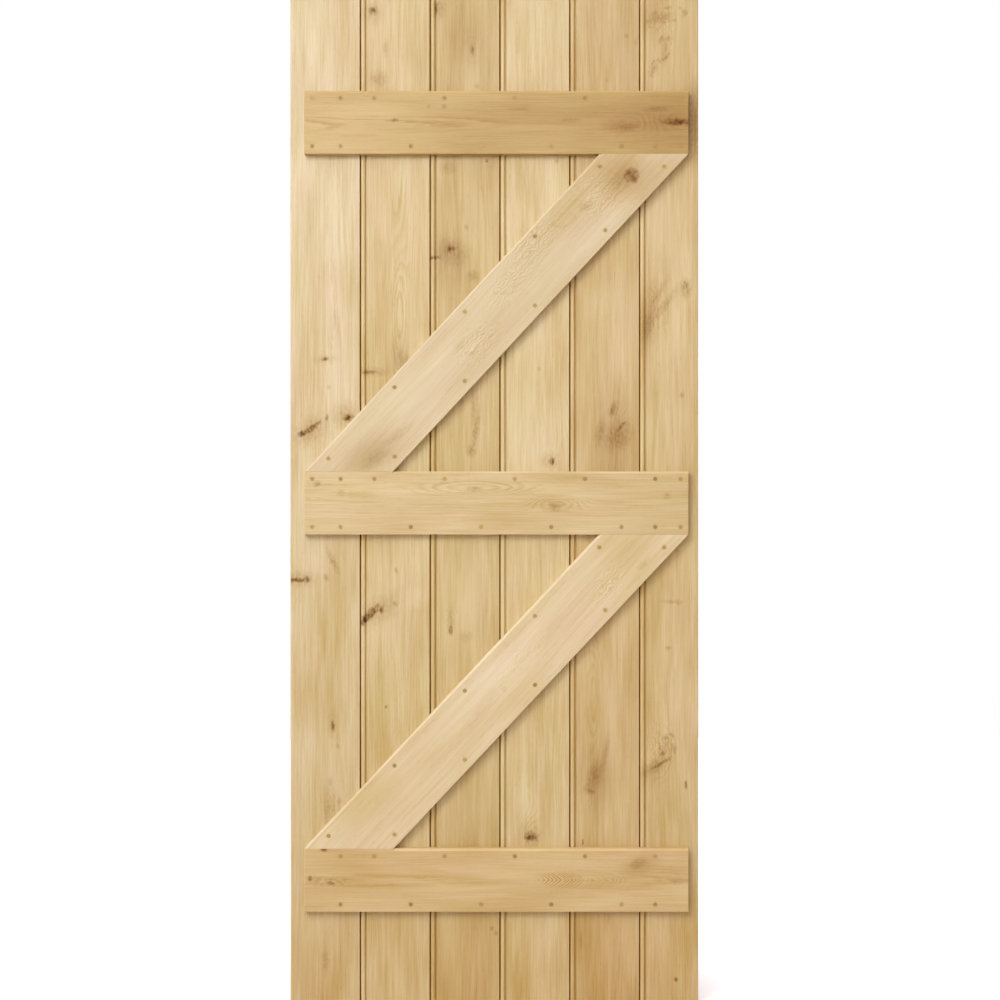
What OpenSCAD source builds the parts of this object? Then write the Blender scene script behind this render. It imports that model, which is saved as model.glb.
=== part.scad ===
// Ledged and braced door leaf.
// Six upright boards, tongued and grooved and beaded at each joint, are held together on one face
// by three level ledges and two sloping braces. Every piece is screwed, and each screw is pelleted.
// Millimetres, +Z up. The ledged face looks along -Y and the hinge edge is at -X.
// The origin is at the middle of the leaf's foot, halfway through its thickness.

/* [Leaf] */
// Width of the leaf
leaf_w = 826; // [660:1:960]
// Height of the leaf
leaf_h = 2040; // [1960:1:2200]
// Radius of the eased arris along both long edges of the leaf
leaf_arris = 3; // [1:0.5:5]

/* [Boards] */
// Thickness of the boards
board_t = 20; // [18:1:26]
// Width of the closing board as a share of a full board
closing_share = 0.842; // [0.6:0.002:1]
// Open gap at each joint, which lets the boards swell
board_gap = 2.2; // [0.6:0.1:3]
// Thickness of the tongue
tongue_t = 6; // [4:0.5:8]
// Length of the tongue
tongue_l = 9; // [6:0.5:12]
// Clearance at each side of the tongue
tongue_side_gap = 0.25; // [0.1:0.05:0.5]
// Clearance beyond the tip of the tongue
tongue_tip_gap = 0.8; // [0.4:0.1:2]
// Width of the bead beside each joint
bead_w = 9.5; // [5:0.5:11]
// Width of the quirk that sets the bead off from the flat
quirk_w = 3; // [1:0.25:4]
// Radius of the eased arris on the grooved edge
board_arris = 1; // [0.5:0.25:2]

/* [Ledges] */
// Width of the ledges
ledge_w = 127; // [100:1:150]
// Thickness of the ledges and braces
ledge_t = 22; // [20:1:30]
// Distance of the ledges from the hinge edge
hinge_inset = 30; // [12:1:45]
// Distance of the ledges from the closing edge
closing_inset = 22; // [10:1:40]
// Drop from the head of the leaf to the middle of the top ledge
top_ledge_drop = 259; // [120:1:340]
// Drop of the middle ledge from halfway between the other two
middle_ledge_drop = 3.5; // [-60:0.5:60]
// Height of the middle of the bottom ledge above the foot of the leaf
bottom_ledge_rise = 254; // [120:1:340]
// Width of the chamfer that sheds water along the upper edge of a ledge or brace, measured along each face
ledge_chamfer = 4; // [1:0.5:6]
// Width of the small chamfer that eases their other edges
ledge_arris = 1; // [0.5:0.25:2]

/* [Braces] */
// Width of the braces
brace_w = 131; // [100:1:150]
// Clearance between the end of a brace and the ledge it bears on
brace_fit = 0.2; // [0.05:0.05:0.5]

/* [Fixing places] */
// Distance of a ledge's fixings from its long edges
ledge_fixing_inset = 15; // [10:1:30]
// Distance of the outermost fixings from a ledge's ends
end_fixing_inset = 16; // [10:1:22]
// Distance of the upper fixings from the beaded edge of their board
bead_side_inset = 30; // [20:1:45]
// Distance of the lower fixings from the grooved edge of their board
groove_side_inset = 38; // [25:1:50]
// Distance of a brace's fixings from its long edges
brace_fixing_inset = 18; // [14:1:35]
// Least distance of a brace's fixings from the ledges it bears on
brace_end_inset = 26; // [12:1:40]

/* [Screws and pellets] */
// Diameter of the pellets
pellet_d = 8; // [7:0.5:10]
// Depth of the counterbore that takes the pellet
pellet_depth = 8; // [5:0.5:10]
// How far a pellet lies below the face
pellet_recess = 0.2; // [0.1:0.1:0.6]
// Clearance round a pellet and round a screw
fixing_fit = 0.05; // [0.02:0.01:0.1]
// Diameter of the screw heads
head_d = 7.6; // [6:0.2:7.6]
// Length of the tapered head
head_l = 2.4; // [1.8:0.2:3.2]
// Diameter of the plain shank
shank_d = 4; // [3:0.2:5]
// Diameter of the threaded part at its root
core_d = 2.8; // [2:0.2:3]
// Length of the whole screw
screw_l = 29; // [20:1:30]
// Length of the tapered point
point_l = 4; // [2:0.5:6]
// Length of the cross recess in the head
recess_l = 4; // [3:0.5:5]
// Width of each slot of the cross recess
recess_w = 0.9; // [0.6:0.1:1.2]
// Depth of the cross recess
recess_depth = 1.6; // [1:0.1:2]

/* [Hidden] */
$fn = 48;

board_count = 6;
board_cover = leaf_w / (board_count - 1 + closing_share);
cut_over = 1;
hinge_x = -leaf_w / 2;
closing_x = leaf_w / 2;
front_y = -(board_t + ledge_t) / 2;
board_y = front_y + ledge_t;
bead_r = bead_w / 2;
bead_band = bead_w + quirk_w;
tongue_y = (board_t - tongue_t) / 2;
groove_t = tongue_t + 2 * tongue_side_gap;
groove_depth = tongue_l - board_gap + tongue_tip_gap;

ledge_x0 = hinge_x + hinge_inset;
ledge_x1 = closing_x - closing_inset;
ledge_l = ledge_x1 - ledge_x0;
top_ledge_z = leaf_h - top_ledge_drop;
bottom_ledge_z = bottom_ledge_rise;
middle_ledge_z = (top_ledge_z + bottom_ledge_z) / 2 - middle_ledge_drop;
upper_foot_z = middle_ledge_z + ledge_w / 2;
upper_head_z = top_ledge_z - ledge_w / 2;
lower_foot_z = bottom_ledge_z + ledge_w / 2;
lower_head_z = middle_ledge_z - ledge_w / 2;

bore_r = pellet_d / 2 + fixing_fit;
screw_end = pellet_depth + screw_l;

wood_pale = [0.90, 0.80, 0.64];
wood_mid = [0.86, 0.75, 0.57];
pellet_tone = [0.70, 0.60, 0.42];
steel_tone = [0.72, 0.70, 0.64];

// Face of board i from joint line to joint line
function board_x0(i) = hinge_x + i * board_cover;
function board_x1(i) = i == board_count - 1 ? closing_x : hinge_x + (i + 1) * board_cover;
function board_mid(i) = (board_x0(i) + board_x1(i)) / 2;

// Level distance that a brace covers between its two ledges, for ends that reach both ledge ends
function brace_run(rise) =
  (rise * rise * ledge_l - rise * brace_w * sqrt(ledge_l * ledge_l + rise * rise - brace_w * brace_w))
  / (rise * rise - brace_w * brace_w);
function brace_angle(rise) = atan2(rise, brace_run(rise));
function brace_end(rise) = ledge_l - brace_run(rise);

// Fixings are pairs of x and z on the ledged face
function ledge_row_high(z) = [
  [board_x1(0) - groove_side_inset, z],
  for (i = [1:board_count - 1]) [board_x0(i) + bead_side_inset, z]
];
function ledge_row_low(z) = [
  for (i = [0:board_count - 2]) [board_x1(i) - groove_side_inset, z],
  [board_x0(board_count - 1) + bead_side_inset, z]
];
function ledge_ends(z) = [
  for (x = [ledge_x0 + end_fixing_inset, ledge_x1 - end_fixing_inset]) [x, z]
];
function ledge_fixings(mid_z, at_ends) =
  let (row = ledge_w / 2 - ledge_fixing_inset)
  concat(
    ledge_row_high(mid_z + row),
    ledge_row_low(mid_z - row),
    at_ends ? ledge_ends(mid_z + row) : [],
    at_ends ? ledge_ends(mid_z - row) : []
  );
// A brace's fixings lie on the boards' middle lines, or short of its ends where those lines run past them
function brace_point(x, foot_z, rise, across) =
  let (a = brace_angle(rise))
  let (up = (x - ledge_x0 - across * sin(a)) * tan(a) - across * cos(a))
  let (held = min(max(up, brace_end_inset), rise - brace_end_inset))
  [x + (held - up) / tan(a), foot_z + held];
function brace_fixings(foot_z, head_z) =
  let (rise = head_z - foot_z)
  [
    for (i = [0:board_count - 2]) brace_point(board_mid(i), foot_z, rise, brace_fixing_inset),
    for (i = [1:board_count - 1]) brace_point(board_mid(i), foot_z, rise, brace_w - brace_fixing_inset)
  ];

top_fixings = ledge_fixings(top_ledge_z, true);
middle_fixings = ledge_fixings(middle_ledge_z, true);
bottom_fixings = ledge_fixings(bottom_ledge_z, false);
upper_fixings = brace_fixings(upper_foot_z, upper_head_z);
lower_fixings = brace_fixings(lower_foot_z, lower_head_z);
all_fixings = concat(top_fixings, middle_fixings, bottom_fixings, upper_fixings, lower_fixings);

// Puts its child at each fixing, with the child's z running into the leaf from the ledged face
module at_fixings(places) {
  for (p = places)
    translate([p.x, front_y, p.y])
      rotate([-90, 0, 0])
        children();
}

// Counterbore, countersink and shank hole through a ledge or brace
module fixing_hole() {
  head_r = head_d / 2 + fixing_fit;
  shank_r = shank_d / 2 + fixing_fit;
  rotate_extrude()
    polygon([
      [0, -cut_over], [bore_r, -cut_over], [bore_r, pellet_depth], [head_r, pellet_depth],
      [shank_r, pellet_depth + head_l], [shank_r, ledge_t + cut_over], [0, ledge_t + cut_over]
    ]);
}

// Pilot hole in a board, as long as the screw's thread and point
module pilot_hole() {
  core_r = core_d / 2 + fixing_fit;
  point_z = screw_end - point_l + fixing_fit;
  rotate_extrude()
    polygon([
      [0, ledge_t - cut_over], [core_r, ledge_t - cut_over], [core_r, point_z],
      [0, screw_end + fixing_fit]
    ]);
}

module screw() {
  head_r = head_d / 2;
  shank_r = shank_d / 2;
  core_r = core_d / 2;
  difference() {
    rotate_extrude()
      polygon([
        [0, pellet_depth], [head_r, pellet_depth], [shank_r, pellet_depth + head_l],
        [shank_r, ledge_t], [core_r, ledge_t], [core_r, screw_end - point_l], [0, screw_end]
      ]);
    for (turn = [0, 90])
      rotate(turn)
        translate([-recess_l / 2, -recess_w / 2, pellet_depth - cut_over])
          cube([recess_l, recess_w, recess_depth + cut_over]);
  }
}

module pellet() {
  translate([0, 0, pellet_recess])
    cylinder(d = pellet_d, h = pellet_depth - pellet_recess);
}

// Square bar section with its two front edges chamfered by c0 and c1, front face on the x axis
module chamfered_bar(w, t, c0, c1) {
  polygon([[c0, 0], [w - c1, 0], [w, c1], [w, t], [0, t], [0, c0]]);
}

// Straight edge of a board with both arrises rounded, running from x = 0 to x = w
module eased_edge(w, r) {
  square([w - r, board_t]);
  translate([0, r])
    square([w, board_t - 2 * r]);
  for (y = [r, board_t - r])
    translate([w - r, y])
      circle(r);
}

// Tongue, shoulder, bead and quirk, on both faces, from x = 0 at the shoulder
module beaded_edge() {
  translate([-tongue_l, tongue_y])
    square([tongue_l + bead_band, tongue_t]);
  translate([0, bead_r])
    square([bead_band, board_t - bead_w]);
  for (y = [bead_r, board_t - bead_r])
    translate([bead_r, y])
      circle(bead_r);
}

// Section of board i, with the ledged face along y = 0
module board_section(i) {
  first = i == 0;
  last = i == board_count - 1;
  w = board_x1(i) - board_x0(i);
  face_x0 = first ? leaf_arris : board_gap / 2 + bead_band;
  face_x1 = last ? w : w - board_gap / 2;
  difference() {
    union() {
      translate([face_x0, 0])
        eased_edge(face_x1 - face_x0, last ? leaf_arris : board_arris);
      if (first)
        translate([2 * leaf_arris, 0])
          mirror([1, 0])
            eased_edge(2 * leaf_arris, leaf_arris);
      if (!first)
        translate([board_gap / 2, 0])
          beaded_edge();
    }
    if (!last)
      translate([face_x1 - groove_depth, (board_t - groove_t) / 2])
        square([groove_depth + cut_over, groove_t]);
  }
}

module board(i, tone) {
  own_fixings = [for (p = all_fixings) if (p.x > board_x0(i) && p.x < board_x1(i)) p];
  color(tone)
    difference() {
      translate([board_x0(i), board_y, 0])
        linear_extrude(leaf_h)
          board_section(i);
      at_fixings(own_fixings)
        pilot_hole();
    }
}

// A ledge is chamfered all round except where a brace bears on it, foot above or head below
module ledge(mid_z, fixings, foot_rise, head_rise) {
  low_z = mid_z - ledge_w / 2;
  high_z = mid_z + ledge_w / 2;
  foot_bearing = foot_rise > 0 ? brace_end(foot_rise) : 0;
  head_bearing = head_rise > 0 ? brace_end(head_rise) : 0;
  color(wood_mid)
    difference() {
      union() {
        intersection() {
          translate([ledge_x0, front_y, low_z])
            linear_extrude(ledge_w)
              chamfered_bar(ledge_l, ledge_t, ledge_arris, ledge_arris);
          translate([ledge_x1, front_y, low_z])
            rotate([0, -90, 0])
              linear_extrude(ledge_l)
                chamfered_bar(ledge_w, ledge_t, ledge_arris, ledge_chamfer);
        }
        if (foot_rise > 0)
          translate([ledge_x0 + ledge_arris, front_y, high_z - ledge_chamfer])
            cube([foot_bearing - ledge_arris, ledge_chamfer, ledge_chamfer]);
        if (head_rise > 0)
          translate([ledge_x1 - head_bearing, front_y, low_z])
            cube([head_bearing - ledge_arris, ledge_arris, ledge_arris]);
      }
      at_fixings(fixings)
        fixing_hole();
    }
}

// A brace lies between two ledges and its ends are cut level to bear on them
module brace(foot_z, head_z, fixings) {
  rise = head_z - foot_z;
  over = brace_end(rise);
  blank_l = rise / sin(brace_angle(rise)) + 2 * over;
  color(wood_pale)
    difference() {
      intersection() {
        translate([ledge_x0, front_y, foot_z])
          rotate([0, 90 - brace_angle(rise), 0])
            translate([0, 0, -over])
              linear_extrude(blank_l)
                chamfered_bar(brace_w, ledge_t, ledge_chamfer, ledge_arris);
        translate([ledge_x0, front_y, foot_z + brace_fit])
          cube([ledge_l, ledge_t, rise - 2 * brace_fit]);
      }
      at_fixings(fixings)
        fixing_hole();
    }
}

module board_1() {
  board(0, wood_pale);
}

module board_2() {
  board(1, wood_mid);
}

module board_3() {
  board(2, wood_mid);
}

module board_4() {
  board(3, wood_pale);
}

module board_5() {
  board(4, wood_mid);
}

module board_6() {
  board(5, wood_mid);
}

module top_ledge() {
  ledge(top_ledge_z, top_fixings, 0, upper_head_z - upper_foot_z);
}

module middle_ledge() {
  ledge(middle_ledge_z, middle_fixings, upper_head_z - upper_foot_z, lower_head_z - lower_foot_z);
}

module bottom_ledge() {
  ledge(bottom_ledge_z, bottom_fixings, lower_head_z - lower_foot_z, 0);
}

module upper_brace() {
  brace(upper_foot_z, upper_head_z, upper_fixings);
}

module lower_brace() {
  brace(lower_foot_z, lower_head_z, lower_fixings);
}

module screws(places) {
  color(steel_tone)
    at_fixings(places)
      screw();
}

module pellets(places) {
  color(pellet_tone)
    at_fixings(places)
      pellet();
}

module top_ledge_screws() {
  screws(top_fixings);
}

module middle_ledge_screws() {
  screws(middle_fixings);
}

module bottom_ledge_screws() {
  screws(bottom_fixings);
}

module upper_brace_screws() {
  screws(upper_fixings);
}

module lower_brace_screws() {
  screws(lower_fixings);
}

module top_ledge_pellets() {
  pellets(top_fixings);
}

module middle_ledge_pellets() {
  pellets(middle_fixings);
}

module bottom_ledge_pellets() {
  pellets(bottom_fixings);
}

module upper_brace_pellets() {
  pellets(upper_fixings);
}

module lower_brace_pellets() {
  pellets(lower_fixings);
}

board_1();
board_2();
board_3();
board_4();
board_5();
board_6();
top_ledge();
middle_ledge();
bottom_ledge();
upper_brace();
lower_brace();
top_ledge_screws();
middle_ledge_screws();
bottom_ledge_screws();
upper_brace_screws();
lower_brace_screws();
top_ledge_pellets();
middle_ledge_pellets();
bottom_ledge_pellets();
upper_brace_pellets();
lower_brace_pellets();
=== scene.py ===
import math

import bpy
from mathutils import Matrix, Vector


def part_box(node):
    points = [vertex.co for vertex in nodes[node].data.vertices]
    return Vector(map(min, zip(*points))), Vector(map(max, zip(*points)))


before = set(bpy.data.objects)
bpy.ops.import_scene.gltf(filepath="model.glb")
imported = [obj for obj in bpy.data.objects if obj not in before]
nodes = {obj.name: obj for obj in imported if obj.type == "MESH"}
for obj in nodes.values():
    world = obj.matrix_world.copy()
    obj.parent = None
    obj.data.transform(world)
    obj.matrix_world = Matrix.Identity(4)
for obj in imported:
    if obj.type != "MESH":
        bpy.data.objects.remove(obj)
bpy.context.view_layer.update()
scene = bpy.context.scene
mm = 1000  # in a metre
print("frame loaded:", len(nodes), "CAD pieces")


def toLinear(code):
    # sRGB hex to the linear values that Blender's sockets take
    channels = [int(code[i:i + 2], 16) / 255 for i in (1, 3, 5)]
    return [c / 12.92 if c <= 0.04045 else ((c + 0.055) / 1.055) ** 2.4 for c in channels] + [1.0]


mixA, mixB, mixOut = 6, 7, 2  # where a Mix node has its two colours and its result


def addNode(tree, kind, inputs=None, **settings):
    node = tree.nodes.new("ShaderNode" + kind)
    for name, value in settings.items():
        setattr(node, name, value)
    for key, value in (inputs or {}).items():
        if isinstance(value, bpy.types.NodeSocket):
            tree.links.new(value, node.inputs[key])
        else:
            node.inputs[key].default_value = value
    return node


def newMaterial(name):
    material = bpy.data.materials.new(name)
    material.use_nodes = True
    material.node_tree.nodes.clear()
    return material, material.node_tree


def dress(piece, material):
    # one material over the whole CAD node
    piece.data.materials.clear()
    piece.data.materials.append(material)


# camera square to the ledged face, as in the photograph
cameraSet = {
    "distance": 4.0,  # metres from the face of the ledges
    "height": 1.020,
    "aside": 0.0114,  # the leaf stands a little left of the middle
    "viewHeight": 2.0247,  # metres of leaf that fill the picture, at the face of the boards
    "sensor": 36,  # mm
    "clipEnd": 60,
}
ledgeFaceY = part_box("middle_ledge")[0].y
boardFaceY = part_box("board_3")[0].y
bpy.ops.object.select_all(action="DESELECT")
bpy.ops.object.camera_add(
    location=(cameraSet["aside"], ledgeFaceY - cameraSet["distance"], cameraSet["height"]),
    rotation=(math.radians(90), 0, 0),
)
camera = bpy.context.object
camera.name = "photoCamera"
camera.data.sensor_fit = "VERTICAL"
camera.data.sensor_height = cameraSet["sensor"]
boardDistance = cameraSet["distance"] + boardFaceY - ledgeFaceY
camera.data.lens = cameraSet["sensor"] * boardDistance / cameraSet["viewHeight"]
camera.data.clip_end = cameraSet["clipEnd"]
scene.camera = camera
print("camera set, lens", round(camera.data.lens, 1), "mm")


# European oak, planed and clear oiled: pale tan wood that deepens towards gold where oil soaks in, fine
# broken lines where the rows of pores are cut, small ragged knots that part the rings, and a satin shine.
oakDefaults = {
    "pale": "#dcc291",  # dense wood, the palest tone
    "soak": (0.38, 0.58, 1.3),  # exponents: how far oil darkens red, green and blue in porous wood
    "tone": 0.42,  # mean share of the way to that deep tone
    # broad patches, streaks and fibres: mm across the grain, mm along it, detail and weight
    "layers": ((60, 240, 1.5, 1.35), (9, 150, 1, 0.6), (2.3, 75, 2, 0.75)),
    "strength": 1.0,  # how strong those three layers are
    "rings": 0.14,  # how plainly the rings show
    "ringWidth": 3.6,  # mm
    "pith": (0.0, 70.0),  # mm across the piece and behind its face
    "tilt": (0.5, 0.25),  # degrees between the pith and the piece
    "wander": 14.0,  # mm that the grain strays
    "seed": 0.0,  # which stretch of the grain the piece is cut from
    "edge": (0.16, 0.0),  # painted highlight on chamfers, beads, arrises and faces that look up: share brighter, and change of tone
    "outerEdge": None,  # boards only: -1 or 1 for a side that is the edge of the leaf, 0 for neither
    "marks": (),  # kind, x, z, half length, half width, turn from level and strength, in mm and degrees
}
# each kind of mark, with where it is full and where it ends, in shares of its half length and width
markKinds = {
    "light": (0.0, 1.7),  # paler, denser wood
    "deep": (0.0, 1.7),  # deeper, more porous wood; at each board's foot, painted shade
    "halo": (0.35, 1.3),  # oil that crept in round a pellet
    "warm": (0.0, 1.7),  # warmer, redder wood; at each board's foot, painted shade
    "cloud": (0.0, 1.7),  # broad even darkening
    "stain": (0.0, 1.6),  # speckled darkening
    "loop": (0.0, 0.3),  # a thin ragged oval line, measured from its rim
    "rosy": (0.0, 1.6),  # redder wood beside a knot
    "burl": (0.75, 1.2),  # the swirled wood of a large knot
    "knot": (0.3, 1.4),
    "dark": (0.35, 1.35),  # the darkest core of a knot
    "figure": (0.2, 1.5),  # rings that show more plainly
    "eye": (0.5, 1.35),  # rings that close into long ovals
    "chevron": (0.3, 1.1),  # rings cut as a row of arrows
    "curl": (0.2, 1.4),  # fine ripples
}
markTones = {"light": -0.35, "deep": 0.35, "halo": 0.2}  # added to the tone
markTints = {  # multiplied into the colour, and how much of each
    "warm": ("#fbe5c5", 1.0),
    "cloud": ("#d0ba86", 0.7),
    "stain": ("#d0ba86", 0.85),
    "loop": ("#d0ba86", 0.9),
}
markColours = {"rosy": "#9c7448", "burl": "#94714a", "knot": "#75481a", "dark": "#572c02"}  # mixed in
markFigures = {"figure": 0.75, "eye": 0.75, "chevron": 1.5}  # how much more plainly the rings show
smoothKinds = (*markFigures, "curl")  # marks without ragged edges
seedStep = 5000  # mm along the grain from one piece's stretch to the next
throughLeaf = 9999  # mm; marks run right through a piece
noiseMean = (0.5, 0.5, 0.5)


def perSize(across, along):
    # the scale of a pattern that is so many mm across the grain and along it
    return (1 / across, 1 / across, 1 / along)


def grainSpace(tree, look, leafMm, lean, middle):
    # across, into and along the grain, in mm from the middle of the piece's face
    turn = math.radians(lean - 90)
    x, y, z = middle
    shift = (
        -(math.cos(turn) * x + math.sin(turn) * z),
        -y,
        math.sin(turn) * x - math.cos(turn) * z + look["seed"] * seedStep,
    )
    return addNode(tree, "Mapping", {
        "Vector": leafMm, "Rotation": (0, turn, 0), "Location": shift,
    }).outputs[0]


# knots push the rings apart, further along the grain than across it; least is the smallest that does, in mm,
# and the others are shares of the knot's size
knotPart = {"least": 5.5, "along": 6, "across": 3, "push": 1.1}


def knotPush(tree, leafMm, place, size, lean):
    about = addNode(tree, "Mapping", {
        "Vector": leafMm, "Location": place, "Rotation": (0, -math.radians(lean), 0),
        "Scale": (knotPart["along"] * size, throughLeaf, knotPart["across"] * size),
    }, vector_type="TEXTURE").outputs[0]
    about = addNode(tree, "VectorMath", {0: about}, operation="LENGTH").outputs["Value"]
    return addNode(tree, "MapRange", {
        "Value": about, "From Min": 1.0, "From Max": 0.0, "To Max": knotPart["push"] * size,
    }, interpolation_type="SMOOTHERSTEP").outputs[0]


eyeRings = {"count": 4.5, "end": 1.3}  # rings between the middle of an eye and where they end


def eyePush(tree, look, far):
    return addNode(tree, "MapRange", {
        "Value": far, "From Min": eyeRings["end"], "From Max": 0.0,
        "To Max": eyeRings["count"] * look["ringWidth"],
    }, interpolation_type="SMOOTHSTEP").outputs[0]


# a row of arrows: mm from one to the next, how far back the barbs lie in shares of their length, and where
# the row is full and where it ends
chevronRow = {"step": 8.0, "barb": 0.35, "full": 1.2, "end": 1.8}


def chevronPush(tree, look, spot, far, halfLong):
    ends = addNode(tree, "SeparateXYZ", {0: spot}).outputs
    barb = addNode(tree, "Math", {0: ends["Z"]}, operation="ABSOLUTE").outputs[0]
    arrow = addNode(tree, "Math", {
        0: barb, 1: chevronRow["barb"], 2: ends["X"],
    }, operation="MULTIPLY_ADD").outputs[0]
    near = addNode(tree, "MapRange", {
        "Value": far, "From Min": chevronRow["end"], "From Max": chevronRow["full"],
        "To Max": look["ringWidth"] * halfLong / chevronRow["step"],
    }).outputs[0]
    return addNode(tree, "Math", {0: arrow, 1: near}, operation="MULTIPLY").outputs[0]


# ragged edges: mm between the tears, how deep they go as a share of the mark's size, and the deepest in mm
fraySet = {"tears": 9, "detail": 3, "roughness": 0.65, "share": 1.1, "deepest": 14}


def markMasks(tree, look, leafMm, lean):
    # a mask for each kind of mark, and how far in mm the marks push the rings
    rough = addNode(tree, "TexNoise", {
        "Vector": leafMm, "Scale": 1 / fraySet["tears"],
        "Detail": fraySet["detail"], "Roughness": fraySet["roughness"],
    }).outputs["Color"]
    rough = addNode(tree, "VectorMath", {0: rough, 1: noiseMean}, operation="SUBTRACT").outputs[0]
    masks = {}
    bend = 0.0
    for kind, x, z, halfLong, halfWide, turn, strength in look["marks"]:
        full, end = markKinds[kind]
        size = math.sqrt(halfLong * halfWide)
        outline = leafMm
        if kind not in smoothKinds:
            fray = min(fraySet["deepest"], fraySet["share"] * size)
            outline = addNode(tree, "VectorMath", {
                0: rough, 1: (fray, fray, fray), 2: leafMm,
            }, operation="MULTIPLY_ADD").outputs[0]
        spot = addNode(tree, "Mapping", {
            "Vector": outline, "Location": (x, 0, z), "Rotation": (0, -math.radians(turn), 0),
            "Scale": (halfLong, throughLeaf, halfWide),
        }, vector_type="TEXTURE").outputs[0]
        far = addNode(tree, "VectorMath", {0: spot}, operation="LENGTH").outputs["Value"]
        if kind == "loop":
            far = addNode(tree, "Math", {0: far, 1: 1.0}, operation="SUBTRACT").outputs[0]
            far = addNode(tree, "Math", {0: far}, operation="ABSOLUTE").outputs[0]
        mask = addNode(tree, "MapRange", {
            "Value": far, "From Min": end, "From Max": full, "To Max": strength,
        }, interpolation_type="SMOOTHSTEP").outputs[0]
        masks[kind] = addNode(tree, "Math", {
            0: masks.get(kind, 0.0), 1: mask,
        }, operation="MAXIMUM").outputs[0]
        push = 0.0
        if kind == "knot" and size > knotPart["least"]:
            push = knotPush(tree, leafMm, (x, 0, z), size, lean)
        elif kind == "eye":
            push = eyePush(tree, look, far)
        elif kind == "chevron":
            push = chevronPush(tree, look, spot, far, halfLong)
        if push:
            bend = addNode(tree, "Math", {0: bend, 1: push}, operation="ADD").outputs[0]
    return masks, bend


ringSet = {
    "stray": (95, 460),  # mm across and along the grain between its slow bends
    "teeth": (2.4, 20), "toothDepth": 2.2,  # mm; the ragged side of a ring
    "uneven": 12, "unevenBy": 6.0,  # mm between wide and narrow rings, and how far that moves them
    "full": 0.15, "end": 0.75,  # where in a ring its pores are densest, and where they end
    "faintest": 0.35,  # the weakest ring, as a share of the strongest
}


def growthRings(tree, look, grain, bend):
    # the grain with its slow bends, and the rings round a pith that lies behind the face and a little askew
    slow = addNode(tree, "VectorMath", {
        0: grain, 1: perSize(*ringSet["stray"]),
    }, operation="MULTIPLY").outputs[0]
    slow = addNode(tree, "TexNoise", {"Vector": slow, "Scale": 1, "Detail": 2}).outputs["Color"]
    slow = addNode(tree, "VectorMath", {0: slow, 1: noiseMean}, operation="SUBTRACT").outputs[0]
    strayed = addNode(tree, "VectorMath", {
        0: slow, 1: (look["wander"], look["wander"], 0), 2: grain,
    }, operation="MULTIPLY_ADD").outputs[0]
    tiltX, tiltY = [math.radians(angle) for angle in look["tilt"]]
    pithX, pithY = look["pith"]
    start = look["seed"] * seedStep
    fromPith = addNode(tree, "Mapping", {
        "Vector": strayed, "Rotation": (tiltX, tiltY, 0),
        "Location": (-pithX - math.sin(tiltY) * start, -pithY + math.sin(tiltX) * start, 0),
    }).outputs[0]
    fromPith = addNode(tree, "VectorMath", {0: fromPith, 1: (1, 1, 0)}, operation="MULTIPLY").outputs[0]
    radius = addNode(tree, "VectorMath", {0: fromPith}, operation="LENGTH").outputs["Value"]
    radius = addNode(tree, "Math", {0: radius, 1: bend}, operation="ADD").outputs[0]
    teeth = addNode(tree, "VectorMath", {
        0: grain, 1: perSize(*ringSet["teeth"]),
    }, operation="MULTIPLY").outputs[0]
    teeth = addNode(tree, "TexNoise", {"Vector": teeth, "Scale": 1, "Detail": 1}).outputs["Fac"]
    radius = addNode(tree, "Math", {
        0: teeth, 1: ringSet["toothDepth"], 2: radius,
    }, operation="MULTIPLY_ADD").outputs[0]
    uneven = addNode(tree, "TexNoise", {
        "W": radius, "Scale": 1 / ringSet["uneven"], "Detail": 1,
    }, noise_dimensions="1D").outputs["Fac"]
    radius = addNode(tree, "Math", {
        0: uneven, 1: ringSet["unevenBy"], 2: radius,
    }, operation="MULTIPLY_ADD").outputs[0]
    ringAt = addNode(tree, "Math", {0: radius, 1: look["ringWidth"]}, operation="DIVIDE").outputs[0]
    within = addNode(tree, "Math", {0: ringAt}, operation="FRACT").outputs[0]
    count = addNode(tree, "Math", {0: ringAt}, operation="FLOOR").outputs[0]
    rise = addNode(tree, "MapRange", {
        "Value": within, "From Min": 0.0, "From Max": ringSet["full"],
    }, interpolation_type="SMOOTHSTEP").outputs[0]
    fall = addNode(tree, "MapRange", {
        "Value": within, "From Min": ringSet["end"], "From Max": ringSet["full"],
    }, interpolation_type="SMOOTHSTEP").outputs[0]
    lot = addNode(tree, "TexWhiteNoise", {"W": count}, noise_dimensions="1D").outputs["Value"]
    lot = addNode(tree, "MapRange", {"Value": lot, "To Min": ringSet["faintest"], "To Max": 1.0}).outputs[0]
    ring = addNode(tree, "Math", {0: rise, 1: fall}, operation="MULTIPLY").outputs[0]
    ring = addNode(tree, "Math", {0: ring, 1: lot}, operation="MULTIPLY").outputs[0]
    return strayed, ring


# pores are open dashes of 0.3 mm, drawn about a millimetre wide so that they show
poreSet = {
    "dash": (1.2, 14),  # mm across and along the grain
    "from": 0.54, "to": 0.72,  # the noise that counts as a pore
    "betweenRings": 0.3,  # share of them outside the rings
    "tone": 0.28,
}


def poreDashes(tree, grain, ring):
    dash = addNode(tree, "VectorMath", {
        0: grain, 1: perSize(*poreSet["dash"]),
    }, operation="MULTIPLY").outputs[0]
    pores = addNode(tree, "TexNoise", {"Vector": dash, "Scale": 1, "Detail": 1}).outputs["Fac"]
    pores = addNode(tree, "MapRange", {
        "Value": pores, "From Min": poreSet["from"], "From Max": poreSet["to"],
    }).outputs[0]
    inRing = addNode(tree, "MapRange", {
        "Value": ring, "To Min": poreSet["betweenRings"], "To Max": 1.0,
    }).outputs[0]
    return addNode(tree, "Math", {0: pores, 1: inRing}, operation="MULTIPLY").outputs[0]


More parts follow.
